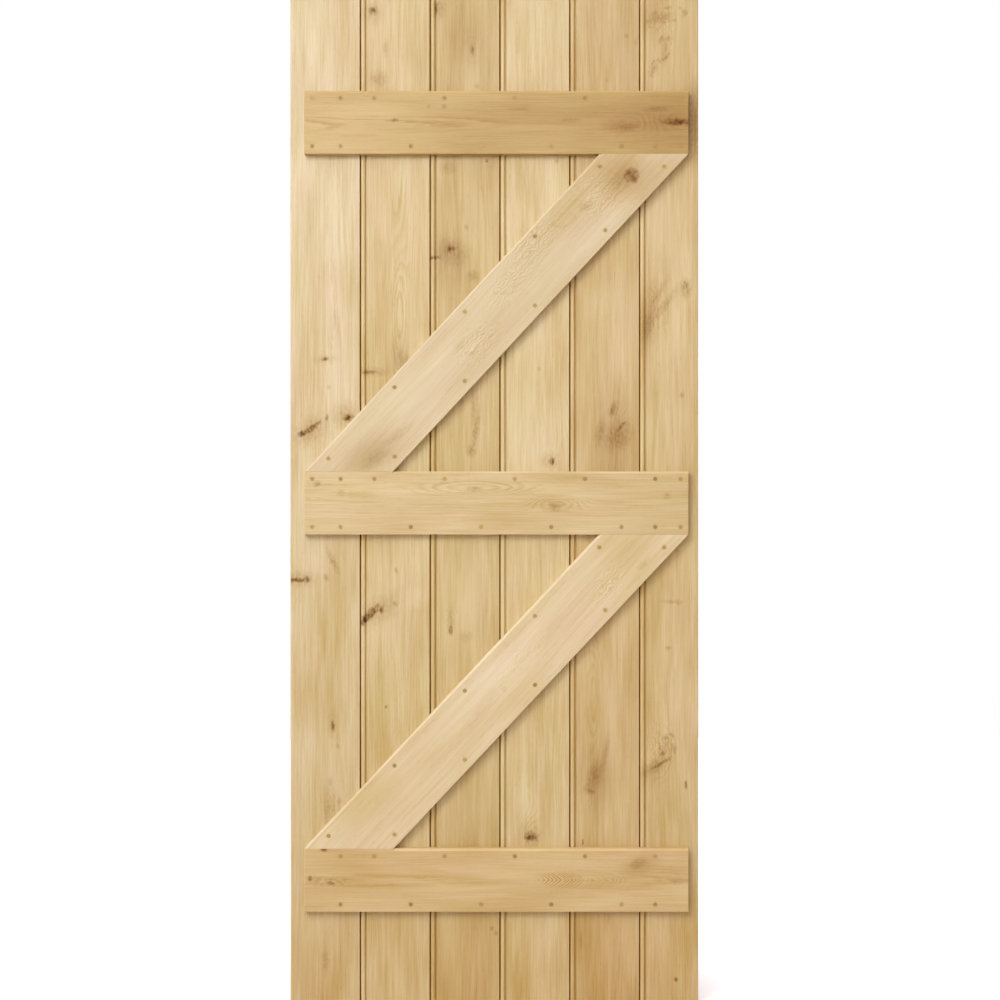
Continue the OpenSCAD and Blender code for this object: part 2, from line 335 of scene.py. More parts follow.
highlightFacing = {"slope": 0.7, "within": 0.29, "up": 0.5}  # which way the faces lie that get a painted highlight: chamfers, beads, arrises and faces that look up


# a mask for the painted highlight: sloped faces of chamfers, beads and arrises, and faces that look up
def highlightFaces(tree, facing):
    sloped = addNode(tree, "Math", {0: facing["Y"]}, operation="ABSOLUTE").outputs[0]
    sloped = addNode(tree, "Math", {
        0: sloped, 1: highlightFacing["slope"], 2: highlightFacing["within"],
    }, operation="COMPARE").outputs[0]
    upward = addNode(tree, "Math", {0: facing["Z"], 1: highlightFacing["up"]}, operation="GREATER_THAN").outputs[0]
    return addNode(tree, "Math", {0: sloped, 1: upward}, operation="MAXIMUM").outputs[0]


# fine ripples: mm from one to the next, and how they wander
rippleSet = {"pitch": 7.0, "distortion": 12.0, "detail": 2.0, "detailScale": 1.3, "tone": 0.42}
waveTurn = 0.314  # bands of a wave texture at scale 1 lie this far apart


def curlTone(tree, grain, curls):
    ripple = addNode(tree, "TexWave", {
        "Vector": grain, "Scale": waveTurn / rippleSet["pitch"], "Distortion": rippleSet["distortion"],
        "Detail": rippleSet["detail"], "Detail Scale": rippleSet["detailScale"],
    }).outputs["Fac"]
    ripple = addNode(tree, "Math", {0: ripple, 1: 0.5}, operation="SUBTRACT").outputs[0]
    ripple = addNode(tree, "Math", {0: ripple, 1: rippleSet["tone"]}, operation="MULTIPLY").outputs[0]
    return addNode(tree, "Math", {0: ripple, 1: curls}, operation="MULTIPLY").outputs[0]


# painted shade in the quirks and the gaps between boards, with the oil and dust that settle there: darker
# and duller with depth
jointShadeSet = {
    # the dark colour of the painted shade and dust deep in the joints
    "colour": "#7e4600",
    "shadeFrom": 1.0, "shadeTo": 5.0, "shade": 0.5,  # mm below the face where the painted shade deepens the tone, and by what
    "shadeAndDustFrom": 4.6, "shadeAndDustTo": 6.5, "shadeAndDust": 0.97,  # mm below the face where the dark colour of painted shade and dust is mixed in, and its share
    "outerSide": 40.0,  # mm from a board's middle, past which its free side gets no shade or dust
    "end": 0.5,  # faces that look up or down more than this are board ends
}


def jointShadeAndDust(tree, look, grain, facing, thickness):
    # what the painted shade in the joints adds to the tone, and the share of shade and dust in them
    place = addNode(tree, "SeparateXYZ", {0: grain}).outputs
    below = addNode(tree, "Math", {0: place["Y"], 1: thickness / 2}, operation="PINGPONG").outputs[0]
    shadeAndDust = addNode(tree, "MapRange", {
        "Value": below, "From Min": jointShadeSet["shadeAndDustFrom"], "From Max": jointShadeSet["shadeAndDustTo"],
        "To Max": jointShadeSet["shadeAndDust"],
    }).outputs[0]
    shade = addNode(tree, "MapRange", {
        "Value": below, "From Min": jointShadeSet["shadeFrom"], "From Max": jointShadeSet["shadeTo"],
        "To Max": jointShadeSet["shade"],
    }).outputs[0]
    outward = addNode(tree, "Math", {0: place["X"], 1: look["outerEdge"]}, operation="MULTIPLY").outputs[0]
    inside = addNode(tree, "Math", {0: outward, 1: jointShadeSet["outerSide"]}, operation="LESS_THAN").outputs[0]
    level = addNode(tree, "Math", {0: facing["Z"]}, operation="ABSOLUTE").outputs[0]
    notEnd = addNode(tree, "Math", {0: level, 1: jointShadeSet["end"]}, operation="LESS_THAN").outputs[0]
    inside = addNode(tree, "Math", {0: inside, 1: notEnd}, operation="MULTIPLY").outputs[0]
    shade = addNode(tree, "Math", {0: shade, 1: inside}, operation="MULTIPLY").outputs[0]
    shadeAndDust = addNode(tree, "Math", {0: shadeAndDust, 1: inside}, operation="MULTIPLY").outputs[0]
    return shade, shadeAndDust


def layerTone(tree, look, strayed):
    # broad patches, streaks and fibres, added round the mean tone
    tone = look["tone"] - look["strength"] * sum(layer[3] for layer in look["layers"]) / 2
    for across, along, detail, weight in look["layers"]:
        cells = addNode(tree, "VectorMath", {
            0: strayed, 1: perSize(across, along),
        }, operation="MULTIPLY").outputs[0]
        fibres = addNode(tree, "TexNoise", {"Vector": cells, "Scale": 1, "Detail": detail}).outputs["Fac"]
        tone = addNode(tree, "Math", {
            0: fibres, 1: look["strength"] * weight, 2: tone,
        }, operation="MULTIPLY_ADD").outputs[0]
    return tone, fibres


def ringTone(tree, look, ring, masks):
    plain = 0.0
    for kind, weight in markFigures.items():
        if kind in masks:
            shown = addNode(tree, "Math", {0: masks[kind], 1: weight}, operation="MULTIPLY").outputs[0]
            plain = addNode(tree, "Math", {0: plain, 1: shown}, operation="MAXIMUM").outputs[0]
    plain = addNode(tree, "Math", {0: plain, 1: look["rings"]}, operation="ADD").outputs[0]
    return addNode(tree, "Math", {0: ring, 1: plain}, operation="MULTIPLY").outputs[0]


# a slow change of hue: mm across and along the grain, and the noise between the two hues
drift = {"rosy": "#fffbfd", "yellow": "#fefff8", "cells": (55, 190), "from": 0.3, "to": 0.7}


def oiledColour(tree, look, tone, strayed):
    # pale wood that oil deepens with the tone
    pale = toLinear(look["pale"])
    deep = [channel * math.exp(-less) for channel, less in zip(pale, look["soak"])] + [1.0]
    colour = addNode(tree, "Mix", {0: tone, mixA: pale, mixB: deep}, data_type="RGBA").outputs[mixOut]
    cells = addNode(tree, "VectorMath", {
        0: strayed, 1: perSize(*drift["cells"]),
    }, operation="MULTIPLY").outputs[0]
    hue = addNode(tree, "TexNoise", {"Vector": cells, "Scale": 1, "Detail": 2}).outputs["Fac"]
    hue = addNode(tree, "MapRange", {
        "Value": hue, "From Min": drift["from"], "From Max": drift["to"],
    }).outputs[0]
    hue = addNode(tree, "Mix", {
        0: hue, mixA: toLinear(drift["rosy"]), mixB: toLinear(drift["yellow"]),
    }, data_type="RGBA").outputs[mixOut]
    return addNode(tree, "Mix", {
        0: 1.0, mixA: colour, mixB: hue,
    }, data_type="RGBA", blend_type="MULTIPLY").outputs[mixOut]


# speckles in stains and knots: mm across and along the grain, the noise they lie in, and their strengths
speckleSet = {"cells": (5, 9), "from": 0.36, "to": 0.6, "least": 0.5, "most": 1.1}


def speckles(tree, grain):
    cells = addNode(tree, "VectorMath", {
        0: grain, 1: perSize(*speckleSet["cells"]),
    }, operation="MULTIPLY").outputs[0]
    speckle = addNode(tree, "TexNoise", {"Vector": cells, "Scale": 1, "Detail": 2}).outputs["Fac"]
    return addNode(tree, "MapRange", {
        "Value": speckle, "From Min": speckleSet["from"], "From Max": speckleSet["to"],
        "To Min": speckleSet["least"], "To Max": speckleSet["most"],
    }).outputs[0]


# mm between the breaks in a loop, and the noise that draws it
loopBreaks = {"cells": 20, "from": 0.44, "to": 0.6}


def tintMarks(tree, colour, masks, speckle, leafMm):
    for kind, (tint, weight) in markTints.items():
        if kind not in masks:
            continue
        share = addNode(tree, "Math", {0: masks[kind], 1: weight}, operation="MULTIPLY").outputs[0]
        if kind == "stain":
            share = addNode(tree, "Math", {0: share, 1: speckle}, operation="MULTIPLY").outputs[0]
        if kind == "loop":
            drawn = addNode(tree, "TexNoise", {
                "Vector": leafMm, "Scale": 1 / loopBreaks["cells"], "Detail": 2,
            }).outputs["Fac"]
            drawn = addNode(tree, "MapRange", {
                "Value": drawn, "From Min": loopBreaks["from"], "From Max": loopBreaks["to"],
            }).outputs[0]
            share = addNode(tree, "Math", {0: share, 1: drawn}, operation="MULTIPLY").outputs[0]
        colour = addNode(tree, "Mix", {
            0: share, mixA: colour, mixB: toLinear(tint),
        }, data_type="RGBA", blend_type="MULTIPLY").outputs[mixOut]
    return colour


def knotMarks(tree, colour, masks, speckle, dull):
    # knots are cut across the fibres, so they are dull as well as dark
    for kind, knotColour in markColours.items():
        if kind in masks:
            share = addNode(tree, "Math", {0: masks[kind], 1: speckle}, operation="MULTIPLY").outputs[0]
            colour = addNode(tree, "Mix", {
                0: share, mixA: colour, mixB: toLinear(knotColour),
            }, data_type="RGBA").outputs[mixOut]
            dull = addNode(tree, "Math", {0: dull, 1: share}, operation="MAXIMUM").outputs[0]
    return colour, dull


oilFinish = {
    "ior": 1.5, "shine": 0.5, "dullShine": 0.02,  # specular level of the oiled face, and of knots and of the painted shade and dust in the joints
    "roughness": 0.42, "poreRoughness": 0.55,
    "fibres": 0.8, "relief": 0.25, "reliefDepth": 0.00025,  # weight beside the rings, strength, metres
}


def oak(name, look, lean, middle, thickness=None):
    # lean is the angle of the grain from level in degrees, middle a point on the piece's face in mm
    material, tree = newMaterial(name)
    coordinates = addNode(tree, "TexCoord").outputs
    facing = addNode(tree, "SeparateXYZ", {0: coordinates["Normal"]}).outputs
    leafMm = addNode(tree, "Mapping", {"Vector": coordinates["Object"], "Scale": (mm, mm, mm)}).outputs[0]
    grain = grainSpace(tree, look, leafMm, lean, middle)
    masks, bend = markMasks(tree, look, leafMm, lean)
    strayed, ring = growthRings(tree, look, grain, bend)
    pores = poreDashes(tree, grain, ring)
    speckle = speckles(tree, grain)
    paintedHighlight = highlightFaces(tree, facing)

    # the tone adds up what darkens the wood, with the painted shade in the joints; the painted highlight on
    # the edges can take some off
    tone, fibres = layerTone(tree, look, strayed)
    darker = [(pores, poreSet["tone"]), (paintedHighlight, look["edge"][1]), (ringTone(tree, look, ring, masks), 1.0)]
    darker += [(masks[kind], weight) for kind, weight in markTones.items() if kind in masks]
    if "curl" in masks:
        darker.append((curlTone(tree, grain, masks["curl"]), 1.0))
    dull = 0.0
    # painted shade, with oil and dust, deep in the quirks and gaps of the boards
    if thickness:
        shade, dull = jointShadeAndDust(tree, look, grain, facing, thickness)
        darker.append((shade, 1.0))
    for part, weight in darker:
        tone = addNode(tree, "Math", {0: part, 1: weight, 2: tone}, operation="MULTIPLY_ADD").outputs[0]

    colour = oiledColour(tree, look, tone, strayed)
    colour = tintMarks(tree, colour, masks, speckle, leafMm)
    # painted highlight: the faces in that mask are made brighter
    highlightGain = addNode(tree, "Math", {
        0: paintedHighlight, 1: look["edge"][0], 2: 1.0,
    }, operation="MULTIPLY_ADD").outputs[0]
    colour = addNode(tree, "VectorMath", {0: colour, "Scale": highlightGain}, operation="SCALE").outputs[0]
    # the dark colour deep in the joints is painted shade as well as dust
    if thickness:
        colour = addNode(tree, "Mix", {
            0: dull, mixA: colour, mixB: toLinear(jointShadeSet["colour"]),
        }, data_type="RGBA").outputs[mixOut]
    colour, dull = knotMarks(tree, colour, masks, speckle, dull)

    shine = oilFinish["shine"]
    if dull:
        shine = addNode(tree, "MapRange", {
            "Value": dull, "To Min": oilFinish["shine"], "To Max": oilFinish["dullShine"],
        }).outputs[0]
    roughness = addNode(tree, "MapRange", {
        "Value": pores, "To Min": oilFinish["roughness"], "To Max": oilFinish["poreRoughness"],
    }).outputs[0]
    relief = addNode(tree, "Math", {
        0: fibres, 1: oilFinish["fibres"], 2: ring,
    }, operation="MULTIPLY_ADD").outputs[0]
    relief = addNode(tree, "Math", {0: relief, 1: pores}, operation="SUBTRACT").outputs[0]
    bump = addNode(tree, "Bump", {
        "Height": relief, "Strength": oilFinish["relief"], "Distance": oilFinish["reliefDepth"],
    }).outputs[0]
    shader = addNode(tree, "BsdfPrincipled", {
        "Base Color": colour, "Roughness": roughness, "Normal": bump,
        "IOR": oilFinish["ior"], "Specular IOR Level": shine,
    })
    addNode(tree, "OutputMaterial", {"Surface": shader.outputs[0]})
    return material


# the six boards, hinge side first, with upright grain; marks are placed on the ledged face
boards = {
    "board_1": {
        "pale": "#dacfb2", "pith": (14.0, 62.0), "tilt": (0.55, -0.2), "seed": 1.0, "outerEdge": -1,
        "marks": (
            ("light", -342, 1450, 260, 60, 90, 0.4), ("deep", -342, 660, 200, 60, 90, 0.75),
            # painted shade: the deep and warm marks at z 40 make the lower part of the board darker and
            # warmer
            ("deep", -342, 40, 230, 90, 90, 0.4), ("warm", -342, 40, 230, 90, 90, 0.45),
            ("figure", -329, 1600, 260, 26, 90, 0.45), ("knot", -343, 1305, 8, 4, 10, 0.7),
            ("stain", -343, 1305, 24, 9, 5, 0.5), ("stain", -335, 1249, 4, 5, 0, 0.5),
            ("stain", -371, 1160, 42, 24, 33, 0.75), ("knot", -374, 1163, 24, 6, 33, 0.85),
            ("dark", -390, 1154, 10, 6, 30, 0.7), ("dark", -356, 1175, 6, 4, 40, 0.5),
            ("knot", -339, 1187, 3, 8, 0, 0.8), ("stain", -304, 1190, 28, 26, 0, 0.75),
            ("knot", -296, 1187, 11, 7, 10, 0.9), ("dark", -296, 1186, 5, 4, 0, 0.7),
            ("stain", -393, 860, 34, 16, 0, 0.7), ("knot", -395, 858, 20, 5, 0, 0.8),
            ("dark", -378, 860, 4, 7, 0, 0.6), ("dark", -408, 857, 6, 4, 0, 0.4),
            ("stain", -341, 862, 5, 8, 0, 0.9), ("stain", -327, 896, 24, 6, 115, 0.9),
            ("knot", -327, 562, 4, 10, 0, 0.8), ("stain", -327, 570, 10, 30, 0, 0.4),
            ("stain", -317, 522, 4, 6, 0, 0.8), ("stain", -333, 449, 6, 10, 0, 0.6),
            ("stain", -315, 409, 7, 9, 0, 0.7), ("stain", -333, 400, 40, 16, 90, 0.7),
            ("stain", -343, 85, 7, 26, 0, 0.7),
        ),
    },
    "board_2": {
        "pale": "#d7caa5", "pith": (8.0, 40.0), "tilt": (-0.7, 0.15), "seed": 2.0, "outerEdge": 0,
        "marks": (
            # painted shade: the deep and warm marks at z 40 make the lower part of the board darker and
            # warmer
            ("light", -201, 800, 160, 60, 90, 0.3), ("deep", -201, 40, 230, 90, 90, 0.15),
            ("warm", -201, 40, 230, 90, 90, 0.35), ("deep", -201, 1400, 200, 60, 90, 0.25),
            ("eye", -193, 1390, 160, 20, 90, 0.3), ("figure", -193, 1600, 200, 24, 90, 0.25),
            ("light", -170, 820, 40, 24, 20, 0.9), ("knot", -246, 2012, 9, 8, 0, 0.8),
            ("stain", -246, 2008, 20, 24, 0, 0.6), ("stain", -220, 1935, 5, 16, 0, 0.7),
            ("stain", -236, 1872, 18, 16, 0, 0.85), ("stain", -187, 1303, 12, 18, 0, 0.8),
            ("cloud", -192, 1312, 55, 22, 75, 0.6), ("knot", -254, 1279, 14, 4, 0, 0.8),
            ("stain", -248, 1279, 34, 9, 0, 0.6), ("stain", -199, 877, 4, 6, 0, 0.8),
            ("stain", -236, 795, 56, 24, 34, 0.7), ("dark", -263, 776, 13, 6, 42, 0.8),
            ("knot", -252, 788, 26, 8, 42, 0.9), ("knot", -229, 797, 5, 8, -20, 0.8),
            ("dark", -236, 808, 3, 3, 0, 0.5), ("stain", -201, 811, 9, 8, 0, 0.9),
            ("knot", -219, 601, 3, 4, -40, 0.7),
        ),
    },
    "board_3": {
        "pale": "#d0c095", "pith": (22.0, 80.0), "tilt": (0.45, 0.2), "seed": 3.0, "outerEdge": 0,
        "marks": (
            ("deep", -60, 1750, 260, 60, 90, 0.25), ("light", -60, 860, 130, 60, 90, 0.45),
            # painted shade: the deep and warm marks at z 40 make the lower part of the board darker and
            # warmer
            ("deep", -60, 40, 230, 90, 90, 0.5), ("warm", -60, 40, 230, 90, 90, 0.45),
            ("cloud", -45, 1950, 80, 40, 90, 0.35), ("cloud", -85, 1480, 75, 32, 100, 0.5),
            ("stain", -40, 1205, 40, 9, 90, 0.5), ("dark", -118, 2015, 4, 14, 0, 0.6),
            ("stain", -112, 2014, 14, 20, 0, 0.7), ("knot", -45, 1931, 4, 10, 0, 0.7),
            ("stain", -35, 1858, 5, 5, 0, 0.8), ("stain", -94, 1692, 16, 12, 0, 0.6),
            ("knot", -15, 1707, 3, 4, 0, 0.7), ("stain", -57, 1571, 5, 6, 0, 0.8),
            ("stain", -84, 1522, 34, 26, -20, 0.85), ("knot", -89, 1529, 9, 8, 0, 0.8),
            ("dark", -90, 1528, 4, 3, 0, 0.4), ("knot", -122, 1511, 12, 4, 0, 0.8),
            ("stain", -43, 1474, 12, 11, 0, 0.7), ("stain", -38, 1160, 46, 6, 84, 0.95),
            ("stain", -46, 1120, 10, 12, 0, 0.9), ("knot", -88, 757, 5, 10, 0, 0.7),
            ("stain", -89, 778, 6, 26, 0, 0.8), ("rosy", -57, 743, 14, 10, 0, 0.3),
            ("stain", -5, 153, 4, 5, 0, 0.9), ("stain", 3, 143, 4, 5, 0, 0.9),
        ),
    },
    "board_4": {
        "pale": "#dbcfac", "pith": (-30.0, 95.0), "tilt": (0.3, -0.3), "seed": 4.0, "outerEdge": 0,
        "marks": (
            ("figure", 70, 430, 130, 14, 90, 0.5), ("light", 82, 1950, 120, 60, 90, 0.2),
            # painted shade: the deep and warm marks at z 40 make the lower part of the board darker and
            # warmer
            ("light", 82, 1230, 150, 60, 90, 0.45), ("deep", 82, 40, 230, 90, 90, 0.1),
            ("warm", 82, 40, 230, 90, 90, 0.35), ("stain", 127, 1706, 4, 4, 0, 0.8),
            ("stain", 90, 1285, 4, 5, 0, 0.6), ("stain", 112, 1099, 18, 16, 0, 0.7),
            ("knot", 117, 1098, 7, 8, 0, 0.5), ("dark", 118, 1097, 2, 8, 0, 0.7),
            ("stain", 74, 340, 24, 28, 0, 0.5), ("knot", 74, 338, 14, 10, 0, 0.9),
            ("dark", 70, 336, 7, 5, 30, 0.5),
        ),
    },
    "board_5": {
        "pale": "#d3c199", "pith": (10.0, 55.0), "tilt": (-0.5, 0.3), "seed": 5.0, "outerEdge": 0,
        "marks": (
            # painted shade: the deep and warm marks at z 40 make the lower part of the board darker and
            # warmer
            ("light", 223, 1300, 140, 55, 90, 0.55), ("deep", 223, 40, 230, 90, 90, 0.65),
            ("warm", 223, 40, 230, 90, 90, 0.4), ("cloud", 262, 1930, 90, 22, 90, 0.35),
            ("figure", 222, 560, 220, 30, 90, 0.25), ("figure", 240, 1160, 110, 34, 90, 0.4),
            ("eye", 205, 620, 130, 18, 90, 0.4), ("stain", 267, 1960, 4, 5, 0, 0.9),
            ("stain", 286, 1946, 3, 6, 0, 0.8), ("cloud", 240, 1155, 95, 38, 90, 0.75),
            ("stain", 240, 1203, 16, 8, 80, 1.0), ("knot", 238, 1203, 8, 3, 80, 0.4),
            ("knot", 257, 1169, 14, 4, 48, 0.75), ("stain", 214, 1155, 26, 10, 80, 0.8),
            ("rosy", 252, 1143, 24, 15, 0, 0.4), ("stain", 248, 1150, 34, 24, 60, 0.8),
            ("stain", 191, 942, 10, 10, 0, 0.6), ("cloud", 204, 457, 70, 36, 80, 0.75),
            ("stain", 204, 462, 34, 14, 70, 0.95), ("rosy", 202, 458, 22, 12, 70, 0.15),
            ("knot", 196, 429, 8, 5, -30, 0.5), ("stain", 190, 440, 14, 8, 40, 0.8),
            ("stain", 226, 505, 40, 5, 82, 0.6), ("dark", 179, 326, 2, 8, 0, 0.6),
            ("stain", 232, 178, 3, 18, 0, 0.6), ("stain", 175, 129, 3, 16, 0, 0.6),
        ),
    },
    "board_6": {
        "pale": "#d7c7a1", "pith": (-8.0, 52.0), "tilt": (0.6, 0.1), "seed": 6.0, "outerEdge": 1,
        "marks": (
            # painted shade: the deep and warm marks at z 40 make the lower part of the board darker and
            # warmer
            ("light", 353, 1350, 300, 50, 90, 0.55), ("deep", 353, 40, 230, 90, 90, 0.25),
            # painted shadow: the cloud and the stain at x 405, z 1782 are the shadow the top ledge casts to
            # the right of its end
            ("warm", 353, 40, 230, 90, 90, 0.35), ("cloud", 405, 1782, 74, 16, 90, 1.0),
            ("stain", 405, 1782, 74, 16, 90, 1.0), ("curl", 338, 1985, 40, 34, 90, 0.8),
            ("loop", 352, 2002, 34, 14, 10, 0.65), ("loop", 328, 1990, 18, 13, 30, 0.6),
            ("loop", 345, 1937, 24, 12, 84, 0.8), ("loop", 325, 1893, 18, 10, 68, 0.7),
            ("curl", 340, 520, 60, 34, 90, 1.0), ("curl", 324, 1405, 60, 26, 90, 1.0),
            ("loop", 350, 525, 22, 12, 75, 0.7), ("stain", 335, 1996, 26, 9, 15, 0.8),
            ("stain", 346, 1952, 16, 5, 10, 0.7), ("stain", 346, 1930, 26, 5, 85, 0.7),
            ("stain", 323, 1892, 16, 7, 60, 0.8), ("cloud", 318, 2000, 50, 20, 90, 0.4),
            ("stain", 387, 1448, 12, 20, 0, 0.85), ("knot", 387, 1455, 5, 8, 0, 0.5),
            ("cloud", 308, 1387, 62, 18, 80, 0.9), ("stain", 312, 1375, 30, 10, 75, 0.9),
            ("stain", 345, 1415, 58, 8, 52, 0.6), ("stain", 334, 1440, 40, 6, 60, 0.5),
            ("stain", 380, 1233, 5, 5, 0, 0.8), ("stain", 372, 813, 5, 6, 0, 0.8),
            ("stain", 362, 814, 22, 4, 0, 0.8), ("stain", 352, 720, 6, 4, 0, 0.8),
            ("knot", 348, 538, 5, 5, 0, 0.5), ("stain", 348, 522, 20, 8, 80, 0.7),
            ("knot", 340, 506, 7, 6, 30, 0.55), ("stain", 364, 515, 6, 9, 0, 0.8),
            ("knot", 336, 486, 26, 3, 31, 0.65), ("stain", 326, 482, 34, 12, 31, 0.8),
            ("cloud", 312, 463, 30, 22, 40, 0.5), ("knot", 388, 443, 3, 9, 0, 0.9),
            ("knot", 368, 49, 4, 5, 0, 0.7),
        ),
    },
}
for name, look in boards.items():
    low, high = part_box(name)
    middle = (mm * (low.x + high.x) / 2, mm * low.y, mm * (low.z + high.z) / 2)
    thickness = mm * (high.y - low.y)
    material = oak("planedOak_" + name, {**oakDefaults, **look}, 90, middle, thickness)
    dress(nodes[name], material)
print("boards dressed:", len(boards))


# Oak pellets, cut flush and oiled: their end grain soaks up more oil, so they read as soft brown dots
pelletLook = {
    "pale": "#b3995b", "deep": "#967b3e",
    "halo": 6.5,  # mm that oil creeps round a pellet, from its middle
    "spread": 12,  # mm, more than a pellet is wide and less than two lie apart
    "each": 30,  # mm, so that pellets differ in tone
    "grain": (0.7, 6, 4),  # mm across, into and along it
    "noise": (0.3, 0.7), "shade": (0.85, 1.1),
    "ior": 1.5, "roughness": 0.55, "relief": 0.3, "reliefDepth": 0.0002,
}


def pelletHalos(name):
    # a halo mark round each pellet, whose place is the middle of its corners in the mesh
    groups = []
    pellets = nodes[name + "_pellets"]
    for vertex in pellets.data.vertices:
        corner = pellets.matrix_world @ vertex.co * mm
        for group in groups:
            if math.hypot(group[0].x - corner.x, group[0].z - corner.z) < pelletLook["spread"]:
                group.append(corner)
                break
        else:
            groups.append([corner])
    halos = []
    for group in groups:
        x, z = [(min(values) + max(values)) / 2 for values in ([c.x for c in group], [c.z for c in group])]
        halos.append(("halo", x, z, pelletLook["halo"], pelletLook["halo"], 0, 1.0))
    return tuple(halos)


# the three ledges, with level grain; edge sets the painted highlight on their chamfers and upper faces
ledges = {
    "top_ledge": {
        "pale": "#c6af78", "strength": 0.8, "pith": (4.0, 34.0), "tilt": (0.8, 0.3), "seed": 7.0,
        "rings": 0.1, "edge": (0.3, -0.25),
        "marks": (
            ("light", -260, 1781, 140, 60, 0, 0.4), ("cloud", 334, 1775, 130, 62, 0, 0.75),
            ("cloud", 160, 1770, 230, 66, 0, 0.42), ("figure", 250, 1780, 160, 20, 0, 0.5),
            ("figure", -120, 1784, 230, 12, 0, 0.85), ("figure", -330, 1778, 60, 14, 0, 0.9),
            ("knot", -200, 1785, 7, 4, 0, 0.6), ("stain", -132, 1813, 5, 5, 0, 0.8),
            ("stain", -101, 1813, 5, 5, 0, 0.9), ("stain", 50, 1807, 20, 4, 0, 0.7),
            ("rosy", 154, 1785, 22, 4, 0, 0.5), ("cloud", 262, 1772, 60, 20, 0, 1.0),
            ("rosy", 330, 1775, 120, 48, 0, 0.2), ("rosy", 264, 1772, 46, 14, 0, 0.4),
            ("stain", 267, 1772, 18, 6, 0, 0.9), ("stain", 326, 1808, 24, 6, 5, 0.8),
            ("cloud", 345, 1785, 50, 16, 0, 0.9), ("knot", 366, 1782, 34, 8, 0, 0.8),
            ("dark", 373, 1781, 20, 5, 0, 0.6), ("knot", 388, 1780, 10, 7, 0, 0.6),
        ),
    },
    "middle_ledge": {
        "pale": "#d8c9a5", "strength": 0.8, "pith": (-20.0, 40.0), "tilt": (-0.6, 0.1), "seed": 8.0,
        "rings": 0.12, "edge": (0.2, -0.25),
        "marks": (
            ("light", -270, 1014, 120, 60, 0, 0.1), ("eye", -39, 1043, 128, 17, 0, 0.5),
            ("eye", 126, 1016, 62, 18, 0, 0.45), ("figure", -330, 1035, 70, 22, 0, 0.5),
            ("figure", 250, 1030, 120, 20, 0, 0.3), ("stain", -356, 1052, 7, 6, 0, 1.0),
            ("stain", -309, 1035, 8, 7, 0, 0.6), ("stain", -41, 1042, 16, 6, 0, 0.9),
            ("stain", 122, 1004, 12, 8, 0, 0.8), ("cloud", 126, 1010, 40, 14, 0, 0.4),
            ("stain", 348, 1028, 7, 6, 0, 0.8),
        ),
    },
    "bottom_ledge": {
        "pale": "#d7c39a", "strength": 0.8, "pith": (0.0, 38.0), "tilt": (0.7, -0.2), "seed": 9.0,
        "rings": 0.1, "edge": (0.2, -0.2),
        "marks": (
            ("chevron", 135, 255, 50, 20, 0, 1.0), ("eye", 222, 254, 40, 14, 0, 0.6),
            ("figure", 330, 256, 70, 14, 0, 0.8), ("figure", -220, 254, 170, 13, 0, 0.7),
            ("figure", 30, 254, 40, 14, 0, 0.3), ("knot", -371, 258, 4, 6, 0, 0.7),
            ("knot", -329, 248, 8, 4, 0, 0.7), ("stain", -335, 252, 50, 12, 0, 0.6),
            ("knot", -343, 316, 8, 5, 0, 0.8), ("rosy", 373, 253, 22, 5, 0, 0.5),
            ("cloud", 296, 286, 40, 18, 30, 0.6), ("stain", 289, 288, 16, 9, 20, 0.7),
        ),
    },
}
for name, look in ledges.items():
    low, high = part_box(name)
    middle = (0, mm * low.y, mm * (low.z + high.z) / 2)
    look = {**oakDefaults, **look, "marks": look["marks"] + pelletHalos(name)}
    dress(nodes[name], oak("planedOak_" + name, look, 0, middle))
print("ledges dressed:", len(ledges))


